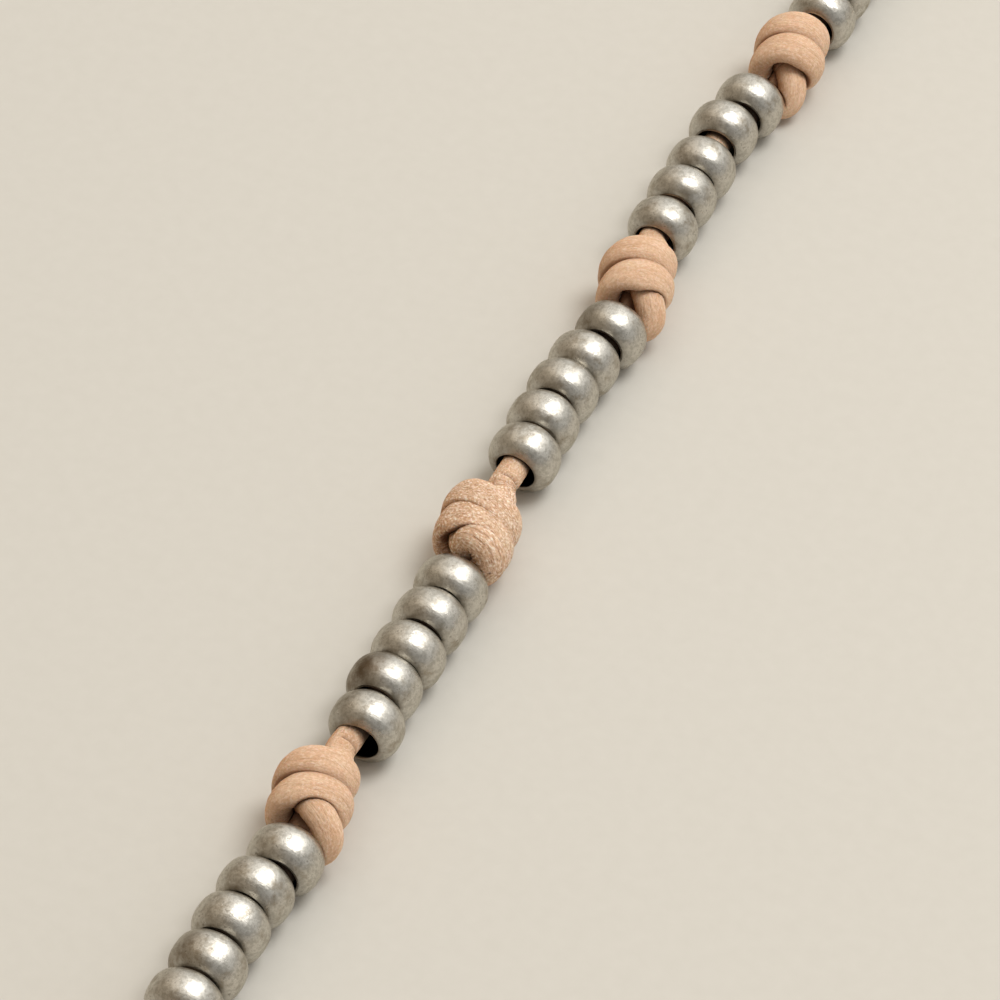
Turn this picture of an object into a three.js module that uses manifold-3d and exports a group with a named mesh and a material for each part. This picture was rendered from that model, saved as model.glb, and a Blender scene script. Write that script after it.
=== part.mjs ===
// A beaded leather necklace, laid flat as one closed loop.
// Units are millimetres, +Z is up, and the beads rest on the plane z = 0.
// A round leather cord carries metal beads in groups of five. A double overhand knot in the cord
// stands between each group and the next, and a plain barrel clasp joins the two cord ends.

import * as THREE from 'three';
import { mergeVertices } from 'three/addons/utils/BufferGeometryUtils.js';
import Module from 'manifold-3d';

// Driving dimensions: beads and cord
const BEAD_DIAMETER = 5.0;
const BEAD_LENGTH = 3.1;
const BEAD_BORE = 2.9;
const BEAD_PITCH = 3.3;
const BEADS_PER_GROUP = 5;
const JOINED_BEAD_LENGTH = 3.5;
const CORD_DIAMETER = 2.0;
const CORD_CUT_GAP = 0.3;
const KNOT_LIFT = 0.35;

// Driving dimensions: barrel clasp
const CLASP_DIAMETER = 5.0;
const CLASP_LENGTH = 14.0;
const CLASP_SOCKET_DIAMETER = 2.8;
const CLASP_SOCKET_DEPTH = 4.0;
const CLASP_EDGE_BREAK = 0.4;
const CLASP_MIDDLE = 246.3;
const CORD_END_GAP = 0.3;

// Driving dimensions: plan of the loop. A straight side, a tight arc at each end, and a wide arc
// that faces the straight side. Places along the necklace are lengths along this plan, from the
// middle of the stretch that lies straight, growing towards +Y there.
const LOOP_LENGTH = 449.6;
const SIDE_START = -56.0;
const SIDE_END = 60.0;
const WIDE_ARC_HALF_ANGLE = THREE.MathUtils.degToRad(20);

// Groups of beads on the straight stretch, each with its beads from the near one to the far one.
// middle: place of the group, toKnot: length from there to the knot after it, slides: how far each
// bead has slid along the cord from its even place, shifts: how far it hangs to the right of the cord.
const STRAIGHT_GROUPS = [
  { middle: -41.4, toKnot: 12.3, slides: [0.1, 0.1, 0.1, 0, -0.1], shifts: [0, 0, -0.05, 0, 0.15] },
  { middle: -16.05, toKnot: 12.7, slides: [0.1, 0.2, 0.15, 0.15, 0.05], shifts: [0.2, -0.2, 0, 0, -0.25] },
  { middle: 10.6, toKnot: 12.7, slides: [-0.1, 0, 0.05, -0.1, 0], shifts: [-0.1, -0.2, -0.2, 0, 0.25] },
  { middle: 35.95, toKnot: 13.5, slides: [-0.8, -0.45, -0.4, 0.55, 0.65], shifts: [-0.1, -0.15, 0, 0, 0.15] },
  { middle: 61.1, toKnot: 12.6, slides: [0, 0, 0, 0, 0], shifts: [0, 0, 0, 0, 0] },
];

// How far the string lies to the right of the plan on its way
const STRING_DRIFT = [
  { along: -41.4, across: -0.2 },
  { along: -16.05, across: 0.2 },
  { along: 10.6, across: -0.2 },
  { along: 18.8, across: -0.25 },
  { along: 23.3, across: 0.1 },
  { along: 28.0, across: -0.35 },
  { along: 42.0, across: -0.5 },
  { along: 49.45, across: 1.15 },
  { along: 55.0, across: 1.4 },
  { along: 86.7, across: 0.0 },
];

// The other groups follow at one pitch on both sides of the straight stretch.
const GROUP_PITCH = 25.6;
const GROUP_TO_KNOT = 12.6;
const GROUPS_BEFORE = 5;
const GROUPS_AFTER = 6;

// Groups whose beads are separate solids. The beads of each other group are joined in one solid.
const FIRST_LOOSE_GROUP = 3;
const LAST_LOOSE_GROUP = 10;

// The cord is cut inside the middle bead of every second group.
const FIRST_CUT_GROUP = 1;
const GROUPS_PER_STRETCH = 2;

// Half section of a bead: parts of its half length and of its radius, from the bore to the equator.
// A joined bead runs a little into its neighbours, so its section has no rounded bore edge.
const BEAD_SECTION = [
  { along: 0.86, radius: BEAD_BORE / BEAD_DIAMETER },
  { along: 1.0, radius: 0.69 },
  { along: 0.58, radius: 0.9 },
  { along: 0.0, radius: 1.0 },
];
const JOINED_BEAD_SECTION = [
  { along: 1.0, radius: BEAD_BORE / BEAD_DIAMETER },
  { along: 0.55, radius: 0.9 },
  { along: 0.0, radius: 1.0 },
];

// Half section of a knot from its near end to its far end: the strand that comes out, two wraps of
// the cord with a groove between them, and the far shoulder.
const KNOT_SECTION = [
  { along: -3.9, radius: 0.95 },
  { along: -3.1, radius: 1.7 },
  { along: -2.1, radius: 2.3 },
  { along: -1.1, radius: 2.85 },
  { along: -0.2, radius: 2.6 },
  { along: 0.7, radius: 2.85 },
  { along: 1.6, radius: 2.5 },
  { along: 2.0, radius: 1.6 },
];

// How the knots push the string aside and up. fromKnot: place from the knot's middle.
const KNOT_SWAY = [
  { fromKnot: -12.7, across: 0.0 },
  { fromKnot: -9.4, across: 0.05 },
  { fromKnot: -6.1, across: 0.4 },
  { fromKnot: 0.0, across: -0.3 },
  { fromKnot: 6.1, across: 0.0 },
];
const KNOT_RISE = [
  { fromKnot: -4.5, up: 0.0 },
  { fromKnot: -1.5, up: KNOT_LIFT },
  { fromKnot: 1.5, up: KNOT_LIFT },
  { fromKnot: 3.5, up: 0.0 },
];

// Facets and weld of shared corners
const BEAD_SIDES = 10;
const JOINED_BEAD_SIDES = 8;
const KNOT_SIDES = 8;
const CORD_SIDES = 8;
const CLASP_SIDES = 12;
const CORD_STEP = 3.3;
const WELD_DISTANCE = 1e-4;

const wasm = await Module();
wasm.setup();

// Plan of the loop

const AXIS_HEIGHT = BEAD_DIAMETER / 2;
const SIDE_LENGTH = SIDE_END - SIDE_START;
const ARC_CENTRE_SPACING = SIDE_LENGTH / (2 * Math.sin(WIDE_ARC_HALF_ANGLE));
const SIDE_AND_WIDENING = SIDE_LENGTH + 2 * WIDE_ARC_HALF_ANGLE * ARC_CENTRE_SPACING;
const END_RADIUS = (LOOP_LENGTH - SIDE_AND_WIDENING) / (2 * Math.PI);
const WIDE_RADIUS = END_RADIUS + ARC_CENTRE_SPACING;
const LOOP_WIDTH = END_RADIUS + WIDE_RADIUS - ARC_CENTRE_SPACING * Math.cos(WIDE_ARC_HALF_ANGLE);
const END_TURN = Math.PI - WIDE_ARC_HALF_ANGLE;
const END_LENGTH = END_RADIUS * END_TURN;
const WIDE_LENGTH = 2 * WIDE_ARC_HALF_ANGLE * WIDE_RADIUS;

// Place and heading on a clockwise arc. start: angle of its first point as seen from its centre.
function arcPlace(centreX, centreY, radius, start, length) {
  const angle = start - length / radius;
  const x = centreX + radius * Math.cos(angle);
  const y = centreY + radius * Math.sin(angle);
  return { x, y, heading: angle - Math.PI / 2 };
}

// Place and heading on the plan, seen from above. heading: angle from +X.
function planPlace(along) {
  const sideX = -LOOP_WIDTH / 2;
  const endX = sideX + END_RADIUS;
  const halfSide = SIDE_LENGTH / 2;
  const fromStart = along - SIDE_START;
  let rest = fromStart - LOOP_LENGTH * Math.floor(fromStart / LOOP_LENGTH);
  if (rest < SIDE_LENGTH) {
    return { x: sideX, y: rest - halfSide, heading: Math.PI / 2 };
  }
  rest -= SIDE_LENGTH;
  if (rest < END_LENGTH) {
    return arcPlace(endX, halfSide, END_RADIUS, Math.PI, rest);
  }
  rest -= END_LENGTH;
  if (rest < WIDE_LENGTH) {
    return arcPlace(LOOP_WIDTH / 2 - WIDE_RADIUS, 0, WIDE_RADIUS, WIDE_ARC_HALF_ANGLE, rest);
  }
  rest -= WIDE_LENGTH;
  return arcPlace(endX, -halfSide, END_RADIUS, -WIDE_ARC_HALF_ANGLE, rest);
}

// Groups and knots along the necklace

function plainGroup(middle) {
  const still = new Array(BEADS_PER_GROUP).fill(0);
  return { middle, toKnot: GROUP_TO_KNOT, slides: still, shifts: still };
}

function allGroups() {
  const groups = [...STRAIGHT_GROUPS];
  for (let i = 0; i < GROUPS_BEFORE; i += 1) {
    groups.unshift(plainGroup(groups[0].middle - GROUP_PITCH));
  }
  for (let i = 0; i < GROUPS_AFTER; i += 1) {
    groups.push(plainGroup(groups.at(-1).middle + GROUP_PITCH));
  }
  return groups;
}

const GROUPS = allGroups();
const FIRST_KNOT = GROUPS[0].middle - GROUP_PITCH + GROUP_TO_KNOT;
const KNOTS = [FIRST_KNOT, ...GROUPS.map((group) => group.middle + group.toKnot)];

// Place of each bead of a group along the string, and its shift to the right
function beadPlaces(group) {
  return group.slides.map((slide, i) => {
    const fromMiddle = (i - (BEADS_PER_GROUP - 1) / 2) * BEAD_PITCH + slide;
    return { along: group.middle + fromMiddle, shift: group.shifts[i] };
  });
}

// True route of the string: the plan, moved aside and lifted a little by the knots

// Value of a short table at a place, eased from each row to the next.
function eased(rows, placeKey, valueKey, place) {
  if (place <= rows[0][placeKey]) {
    return rows[0][valueKey];
  }
  for (let i = 1; i < rows.length; i += 1) {
    const from = rows[i - 1];
    const to = rows[i];
    if (place <= to[placeKey]) {
      const part = THREE.MathUtils.smoothstep(place, from[placeKey], to[placeKey]);
      return THREE.MathUtils.lerp(from[valueKey], to[valueKey], part);
    }
  }
  return rows.at(-1)[valueKey];
}

function fromNearestKnot(along) {
  const gaps = KNOTS.map((knot) => along - knot);
  return gaps.reduce((nearest, gap) => (Math.abs(gap) < Math.abs(nearest) ? gap : nearest));
}

function stringPlace(along) {
  const plan = planPlace(along);
  const gap = fromNearestKnot(along);
  const drift = eased(STRING_DRIFT, 'along', 'across', along);
  const across = drift + eased(KNOT_SWAY, 'fromKnot', 'across', gap);
  const up = eased(KNOT_RISE, 'fromKnot', 'up', gap);
  const x = plan.x + across * Math.sin(plan.heading);
  const y = plan.y - across * Math.cos(plan.heading);
  return { point: new THREE.Vector3(x, y, AXIS_HEIGHT + up), heading: plan.heading };
}

class StringRoute extends THREE.Curve {
  constructor(start, end) {
    super();
    this.start = start;
    this.end = end;
  }

  getPoint(t, target = new THREE.Vector3()) {
    return target.copy(stringPlace(THREE.MathUtils.lerp(this.start, this.end, t)).point);
  }
}

// Turned pieces: their own Y axis lies along the string, and a facet faces straight down

function turned(section, sides) {
  const facetScale = 1 / Math.cos(Math.PI / sides);
  const points = section.map((row) => new THREE.Vector2(row.radius * facetScale, row.along));
  return new THREE.LatheGeometry(points, sides, Math.PI / sides);
}

function placedOnString(geometry, along, shift = 0) {
  const { point, heading } = stringPlace(along);
  const forward = new THREE.Vector3(Math.cos(heading), Math.sin(heading), 0);
  const up = new THREE.Vector3(0, 0, 1);
  const side = new THREE.Vector3().crossVectors(forward, up);
  point.addScaledVector(side, shift);
  const matrix = new THREE.Matrix4().makeBasis(side, forward, up).setPosition(point);
  return geometry.applyMatrix4(matrix);
}

function beadGeometry(section, length, sides) {
  const half = section.map((row) => ({
    along: (row.along * length) / 2,
    radius: (row.radius * BEAD_DIAMETER) / 2,
  }));
  const lower = half.map((row) => ({ along: -row.along, radius: row.radius }));
  const upper = half.slice(0, -1).reverse();
  return turned([...lower, ...upper, lower[0]], sides);
}

function knotGeometry() {
  const start = { along: KNOT_SECTION[0].along, radius: 0 };
  const end = { along: KNOT_SECTION.at(-1).along, radius: 0 };
  return turned([start, ...KNOT_SECTION, end], KNOT_SIDES);
}

function claspGeometry() {
  const end = CLASP_LENGTH / 2;
  const floor = end - CLASP_SOCKET_DEPTH;
  const radius = CLASP_DIAMETER / 2;
  const socket = CLASP_SOCKET_DIAMETER / 2;
  const upper = [
    { along: end - CLASP_EDGE_BREAK, radius },
    { along: end, radius: radius - CLASP_EDGE_BREAK },
    { along: end, radius: socket },
    { along: floor, radius: socket },
    { along: floor, radius: 0 },
  ];
  const lower = upper.map((row) => ({ along: -row.along, radius: row.radius })).reverse();
  return turned([...lower, ...upper], CLASP_SIDES);
}

function cordGeometry(start, end) {
  const outline = new THREE.Shape();
  const radius = CORD_DIAMETER / 2;
  for (let i = 0; i < CORD_SIDES; i += 1) {
    const angle = (2 * Math.PI * (i + 0.5)) / CORD_SIDES;
    const corner = new THREE.Vector2(Math.cos(angle), Math.sin(angle)).multiplyScalar(radius);
    if (i === 0) {
      outline.moveTo(corner.x, corner.y);
    } else {
      outline.lineTo(corner.x, corner.y);
    }
  }
  outline.closePath();
  const steps = Math.ceil((end - start) / CORD_STEP);
  return new THREE.ExtrudeGeometry(outline, { steps, extrudePath: new StringRoute(start, end) });
}

// Joining of solids

function solidOf(geometry) {
  const bare = geometry.clone();
  bare.deleteAttribute('normal');
  bare.deleteAttribute('uv');
  const merged = mergeVertices(bare, WELD_DISTANCE);
  const corners = merged.index.array;
  const triangles = [];
  for (let i = 0; i < corners.length; i += 3) {
    const [a, b, c] = corners.subarray(i, i + 3);
    if (a !== b && b !== c && c !== a) {
      triangles.push(a, b, c);
    }
  }
  const vertProperties = new Float32Array(merged.attributes.position.array);
  const triVerts = new Uint32Array(triangles);
  return new wasm.Manifold(new wasm.Mesh({ numProp: 3, vertProperties, triVerts }));
}

function joined(geometries) {
  const solid = geometries.map(solidOf).reduce((whole, piece) => whole.add(piece));
  const mesh = solid.getMesh();
  const geometry = new THREE.BufferGeometry();
  geometry.setAttribute('position', new THREE.BufferAttribute(mesh.vertProperties, 3));
  geometry.setIndex(new THREE.BufferAttribute(mesh.triVerts, 1));
  geometry.computeVertexNormals();
  return geometry;
}

// Materials and nodes

function agedSilver() {
  return new THREE.MeshStandardMaterial({ color: 0xa9a294, roughness: 0.35, metalness: 1.0 });
}

function paleLeather() {
  return new THREE.MeshStandardMaterial({ color: 0xcfa584, roughness: 0.75, metalness: 0.0 });
}

const necklace = new THREE.Group();

function addPiece(name, geometry, material) {
  const piece = new THREE.Mesh(geometry, material);
  piece.name = name;
  necklace.add(piece);
}

// Loose beads, one solid each

const looseGroups = GROUPS.slice(FIRST_LOOSE_GROUP, LAST_LOOSE_GROUP + 1);
looseGroups.flatMap(beadPlaces).forEach(({ along, shift }, i) => {
  const name = `bead_${String(i + 1).padStart(2, '0')}`;
  const geometry = beadGeometry(BEAD_SECTION, BEAD_LENGTH, BEAD_SIDES);
  addPiece(name, placedOnString(geometry, along, shift), agedSilver());
});

// Rows of five beads joined at their faces, on the rest of the loop

const joinedGroups = GROUPS.filter((group) => !looseGroups.includes(group));
joinedGroups.forEach((group, i) => {
  const beads = beadPlaces(group).map(({ along, shift }) => {
    const bead = beadGeometry(JOINED_BEAD_SECTION, JOINED_BEAD_LENGTH, JOINED_BEAD_SIDES);
    return placedOnString(bead, along, shift);
  });
  addPiece(`bead_row_${i + 1}`, joined(beads), agedSilver());
});

// Leather cord with its knots, cut where a bead hides the cut

const claspReach = CLASP_LENGTH / 2 - CLASP_SOCKET_DEPTH + CORD_END_GAP;
const cordStart = CLASP_MIDDLE - LOOP_LENGTH + claspReach;
const cordEnd = CLASP_MIDDLE - claspReach;
const cutGroups = GROUPS.filter((_, i) => (i - FIRST_CUT_GROUP) % GROUPS_PER_STRETCH === 0);
const cuts = cutGroups.slice(0, -1).map((group) => group.middle);
const starts = [cordStart, ...cuts.map((cut) => cut + CORD_CUT_GAP / 2)];
const ends = [...cuts.map((cut) => cut - CORD_CUT_GAP / 2), cordEnd];
starts.forEach((start, i) => {
  const knots = KNOTS.filter((knot) => knot > start && knot < ends[i]);
  const lumps = knots.map((knot) => placedOnString(knotGeometry(), knot));
  const stretch = joined([cordGeometry(start, ends[i]), ...lumps]);
  addPiece(`cord_stretch_${i + 1}`, stretch, paleLeather());
});

// Barrel clasp

addPiece('barrel_clasp', placedOnString(claspGeometry(), CLASP_MIDDLE), agedSilver());

export default necklace;
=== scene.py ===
"""Looks of a beaded leather necklace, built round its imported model.

The knotted leather cord, the metal beads and the clasp replace their CAD nodes with detailed meshes.
Shapes are worked out in millimetres along the string, and turned into metres as meshes are made.
"""
import math

import bpy
import numpy as np
from mathutils import Matrix, Vector


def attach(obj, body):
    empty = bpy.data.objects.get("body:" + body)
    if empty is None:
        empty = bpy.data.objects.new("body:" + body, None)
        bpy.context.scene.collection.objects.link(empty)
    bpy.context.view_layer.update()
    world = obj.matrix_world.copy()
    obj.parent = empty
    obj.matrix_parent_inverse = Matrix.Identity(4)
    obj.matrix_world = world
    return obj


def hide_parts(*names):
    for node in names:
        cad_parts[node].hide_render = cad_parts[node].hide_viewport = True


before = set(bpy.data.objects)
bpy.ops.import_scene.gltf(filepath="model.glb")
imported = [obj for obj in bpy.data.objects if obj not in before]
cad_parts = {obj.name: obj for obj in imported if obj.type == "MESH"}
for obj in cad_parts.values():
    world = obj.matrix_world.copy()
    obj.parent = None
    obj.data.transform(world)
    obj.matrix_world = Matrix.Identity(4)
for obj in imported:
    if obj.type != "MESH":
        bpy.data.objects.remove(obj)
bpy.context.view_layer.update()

MM = 0.001

# Sizes of the string, in millimetres, as in the CAD model
BEAD_DIAMETER = 5.0
BEAD_LENGTH = 3.1
BEAD_BORE = 2.9
BEAD_PITCH = 3.3
BEADS_PER_GROUP = 5
CORD_DIAMETER = 2.0
CORD_CUT_GAP = 0.3
CLASP_DIAMETER = 5.0
CLASP_LENGTH = 14.0
CLASP_SOCKET_DIAMETER = 2.8
CLASP_SOCKET_DEPTH = 4.0
CLASP_MIDDLE = 246.3
CORD_END_GAP = 0.3
AXIS_HEIGHT = BEAD_DIAMETER / 2

# Plan of the loop, as in the CAD model
LOOP_LENGTH = 449.6
SIDE_START = -56.0
SIDE_END = 60.0
WIDE_ARC_HALF_ANGLE = math.radians(20)
SIDE_LENGTH = SIDE_END - SIDE_START
SIDE_MIDDLE = (SIDE_START + SIDE_END) / 2
ARC_CENTRE_SPACING = SIDE_LENGTH / (2 * math.sin(WIDE_ARC_HALF_ANGLE))
SIDE_AND_WIDENING = SIDE_LENGTH + 2 * WIDE_ARC_HALF_ANGLE * ARC_CENTRE_SPACING
END_RADIUS = (LOOP_LENGTH - SIDE_AND_WIDENING) / (2 * math.pi)
WIDE_RADIUS = END_RADIUS + ARC_CENTRE_SPACING
LOOP_WIDTH = END_RADIUS + WIDE_RADIUS - ARC_CENTRE_SPACING * math.cos(WIDE_ARC_HALF_ANGLE)
END_LENGTH = END_RADIUS * (math.pi - WIDE_ARC_HALF_ANGLE)
WIDE_LENGTH = 2 * WIDE_ARC_HALF_ANGLE * WIDE_RADIUS

# Groups of beads on the straight stretch: middle, to_knot, slides and shifts of the beads
STRAIGHT_GROUPS = [
    (-41.4, 12.3, (0.1, 0.1, 0.1, 0.0, -0.1), (0.0, 0.0, -0.05, 0.0, 0.15)),
    (-16.05, 12.7, (0.1, 0.2, 0.15, 0.15, 0.05), (0.2, -0.2, 0.0, 0.0, -0.25)),
    (10.6, 12.7, (-0.1, 0.0, 0.05, -0.1, 0.0), (-0.1, -0.2, -0.2, 0.0, 0.25)),
    (35.95, 13.5, (-0.8, -0.45, -0.4, 0.55, 0.65), (-0.1, -0.15, 0.0, 0.0, 0.15)),
    (61.1, 12.6, (0.0,) * BEADS_PER_GROUP, (0.0,) * BEADS_PER_GROUP),
]
STRING_DRIFT = [
    (-41.4, -0.2), (-16.05, 0.2), (10.6, -0.2), (18.8, -0.25), (23.3, 0.1), (28.0, -0.35), (42.0, -0.5),
    (49.45, 1.15), (55.0, 1.4), (86.7, 0.0)]
GROUP_PITCH = 25.6
GROUP_TO_KNOT = 12.6
GROUPS_BEFORE = 5
GROUPS_AFTER = 6
FIRST_LOOSE_GROUP = 3
LAST_LOOSE_GROUP = 10
FIRST_CUT_GROUP = 1
GROUPS_PER_STRETCH = 2

# How a knot pushes the string aside and up: place from the knot, then the shift
KNOT_SWAY = [(-12.7, 0.0), (-9.4, 0.05), (-6.1, 0.4), (0.0, -0.3), (6.1, 0.0)]
KNOT_RISE = [(-4.5, 0.0), (-1.5, 0.35), (1.5, 0.35), (3.5, 0.0)]


# Route of the string

def arc_place(centre_x, centre_y, radius, start, length):
    """Place and heading on a clockwise arc whose first point is at the angle start."""
    angle = start - length / radius
    x = centre_x + radius * math.cos(angle)
    y = centre_y + radius * math.sin(angle)
    return x, y, angle - math.pi / 2


def plan_place(along):
    """Place and heading on the plan of the loop, seen from above."""
    side_x = -LOOP_WIDTH / 2
    end_x = side_x + END_RADIUS
    half_side = SIDE_LENGTH / 2
    rest = (along - SIDE_START) % LOOP_LENGTH
    if rest < SIDE_LENGTH:
        return side_x, rest - half_side, math.pi / 2
    rest -= SIDE_LENGTH
    if rest < END_LENGTH:
        return arc_place(end_x, half_side, END_RADIUS, math.pi, rest)
    rest -= END_LENGTH
    if rest < WIDE_LENGTH:
        wide_x = LOOP_WIDTH / 2 - WIDE_RADIUS
        return arc_place(wide_x, 0.0, WIDE_RADIUS, WIDE_ARC_HALF_ANGLE, rest)
    rest -= WIDE_LENGTH
    return arc_place(end_x, -half_side, END_RADIUS, -WIDE_ARC_HALF_ANGLE, rest)


def all_groups():
    """Every group of beads along the string, in the order of the CAD model."""
    still = (0.0,) * BEADS_PER_GROUP
    groups = list(STRAIGHT_GROUPS)
    for _ in range(GROUPS_BEFORE):
        groups.insert(0, (groups[0][0] - GROUP_PITCH, GROUP_TO_KNOT, still, still))
    for _ in range(GROUPS_AFTER):
        groups.append((groups[-1][0] + GROUP_PITCH, GROUP_TO_KNOT, still, still))
    return groups


GROUPS = all_groups()
FIRST_KNOT = GROUPS[0][0] - GROUP_PITCH + GROUP_TO_KNOT
KNOTS = [FIRST_KNOT] + [middle + to_knot for middle, to_knot, _, _ in GROUPS]


def smoothstep(low, high, value):
    part = np.clip((value - low) / (high - low), 0.0, 1.0)
    return part * part * (3 - 2 * part)


def eased(rows, place):
    """Value of a short table of (place, value) rows, eased from each row to the next."""
    if place <= rows[0][0]:
        return rows[0][1]
    for (low, low_value), (high, high_value) in zip(rows, rows[1:]):
        if place <= high:
            part = smoothstep(low, high, place)
            return low_value + (high_value - low_value) * part
    return rows[-1][1]


def string_place(along):
    """Point on the string's axis, and the string's heading in the plan."""
    x, y, heading = plan_place(along)
    gap = min((along - knot for knot in KNOTS), key=abs)
    across = eased(STRING_DRIFT, along) + eased(KNOT_SWAY, gap)
    up = eased(KNOT_RISE, gap)
    x += across * math.sin(heading)
    y -= across * math.cos(heading)
    return np.array((x, y, AXIS_HEIGHT + up)), heading


def string_axes(heading):
    """Unit vectors forward along the string, to its right, and up."""
    forward = np.array((math.cos(heading), math.sin(heading), 0.0))
    right = np.array((math.sin(heading), -math.cos(heading), 0.0))
    return forward, right, np.array((0.0, 0.0, 1.0))


def bead_places(group):
    """Place of each bead of a group along the string, and its shift to the right."""
    middle, _, slides, shifts = group
    first = middle - (BEADS_PER_GROUP - 1) / 2 * BEAD_PITCH
    return [(first + i * BEAD_PITCH + slides[i], shifts[i]) for i in range(BEADS_PER_GROUP)]


# Smooth random fields for dents, pits and creases

CELL_FACTORS = np.array((374761393, 668265263, 2147483647))
SEED_FACTOR = 1013904223
FIRST_MIX_FACTOR = 1274126177
SECOND_MIX_FACTOR = 1911520717
LARGEST_MIX = 0x7FFFFFFF


def lattice_value(cells, seed):
    """A fixed random number from 0 to 1 for each whole-number cell."""
    mixed = cells.astype(np.int64) @ CELL_FACTORS
    mixed = (mixed + seed * SEED_FACTOR) & LARGEST_MIX
    mixed = ((mixed ^ (mixed >> 13)) * FIRST_MIX_FACTOR) & LARGEST_MIX
    mixed = ((mixed ^ (mixed >> 16)) * SECOND_MIX_FACTOR) & LARGEST_MIX
    return (mixed ^ (mixed >> 15)) / LARGEST_MIX


def smooth_noise(points, seed):
    """Smooth noise from -1 to 1 at points given in units of its cell size."""
    base = np.floor(points)
    part = points - base
    part = part * part * (3 - 2 * part)
    total = np.zeros(len(points))
    for corner in np.ndindex(2, 2, 2):
        offset = np.array(corner)
        weight = np.prod(np.where(offset == 1, part, 1 - part), axis=1)
        total += weight * lattice_value(base + offset, seed)
    return 2 * total - 1


# Meshes

def new_piece(name, verts, faces, material):
    """A smooth mesh object from points in millimetres, riding on the necklace."""
    mesh = bpy.data.meshes.new(name)
    mesh.from_pydata((np.asarray(verts) * MM).tolist(), [], faces)
    mesh.polygons.foreach_set("use_smooth", [True] * len(mesh.polygons))
    mesh.materials.append(material)
    mesh.update()
    piece = bpy.data.objects.new(name, mesh)
    bpy.context.scene.collection.objects.link(piece)
    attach(piece, "root")
    return piece


def store_values(piece, name, kind, values):
    """Keeps a value for each vertex, which the materials read."""
    field = "vector" if kind == "FLOAT_VECTOR" else "value"
    attribute = piece.data.attributes.new(name, kind, "POINT")
    attribute.data.foreach_set(field, np.asarray(values, np.float32).ravel())


def grid_faces(rings, sides, closed_rings, start=0):
    """Quads of a grid of rings. Each ring is closed, and the rings may close on themselves."""
    faces = []
    last = rings if closed_rings else rings - 1
    for ring in range(last):
        here = start + ring * sides
        there = start + ((ring + 1) % rings) * sides
        for side in range(sides):
            after = (side + 1) % sides
            faces.append((here + side, here + after, there + after, there + side))
    return faces


def end_faces(rings, sides):
    """The two faces that close the first and the last ring of a grid."""
    last = (rings - 1) * sides
    return [tuple(reversed(range(sides))), tuple(range(last, last + sides))]


# Turned metal: beads and clasp

BEAD_SIDES = 56
BEAD_ROWS = 25
BEAD_HALF = BEAD_LENGTH / 2
BEAD_RADIUS = BEAD_DIAMETER / 2
BORE_RADIUS = BEAD_BORE / 2
FACE_RADIUS = 1.62
BEAD_FULLNESS = 2.7
BEAD_SWELL = BEAD_HALF / (1 - (FACE_RADIUS / BEAD_RADIUS) ** BEAD_FULLNESS) ** (1 / BEAD_FULLNESS)
LIP_RADIUS = 0.09
LIP_TURNS = np.radians((50, 80, 110, 140, 180))
BORE_PARTS = (0.85, 0.5, -0.5, -0.85)
# Mark of the bore's inside, where the metal gets painted shade
BORE_SHADE_MARK = 2.0
WEAR_POWER = 6
BEAD_TILT = math.radians(2.5)
TILT_SEED = 5

CLASP_ROUNDING = 0.6
CLASP_ROUND_TURNS = np.radians((0, 22, 45, 68, 90))
CLASP_EDGE_WEAR = 0.6
CLASP_CHAMFER = 0.2
CLASP_FLOOR_CENTRE = 0.02
CLASP_BARREL_ROWS = 8
CLASP_BARREL_FROM = 0.4
CLASP_SEED = 300

# Small dents: depth, and how many to a millimetre of the wide ones and the small ones
DENT_DEPTH = 0.02
WIDE_DENTS = 0.55
SMALL_DENTS = 1.5
SMALL_DENT_SHARE = 0.5
DENT_SEED = 11
APART_STEP = np.array((7.31, 3.17, 5.23))

# Beads with a brown stain: number of the bead, then right and up of the stained side, and how dark it is
BEAD_STAINS = {17: (-0.8, 0.6, 0.9), 16: (-0.9, 0.3, 0.35), 25: (-0.9, 0.2, 0.6), 12: (-0.9, 0.4, 0.4)}
NO_STAIN = (0.0, 1.0, 0.0)
STAIN_EDGE = (0.3, 0.95)


def unit(vectors):
    return vectors / np.linalg.norm(vectors, axis=-1, keepdims=True)


def bead_profile():
    """Closed half section of a bead as (along, radius, mark): outer face, rounded lips and bore, where the
    mark is wear up to 1 and painted shade in the bore above it.
    """
    rows = []
    for along in BEAD_HALF * np.sin(np.linspace(-1, 1, BEAD_ROWS) * math.pi / 2):
        across = BEAD_RADIUS * (1 - abs(along / BEAD_SWELL) ** BEAD_FULLNESS) ** (1 / BEAD_FULLNESS)
        rows.append((along, across, abs(along / BEAD_HALF) ** WEAR_POWER))
    lip = []
    for turn in LIP_TURNS:
        along = BEAD_HALF - LIP_RADIUS + LIP_RADIUS * math.sin(turn)
        across = BORE_RADIUS + LIP_RADIUS + LIP_RADIUS * math.cos(turn)
        lip.append((along, across, 1.0))
    bore = [(part * BEAD_HALF, BORE_RADIUS, BORE_SHADE_MARK) for part in BORE_PARTS]
    return rows + lip + bore + [(-along, across, 1.0) for along, across, _ in reversed(lip)]


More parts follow.
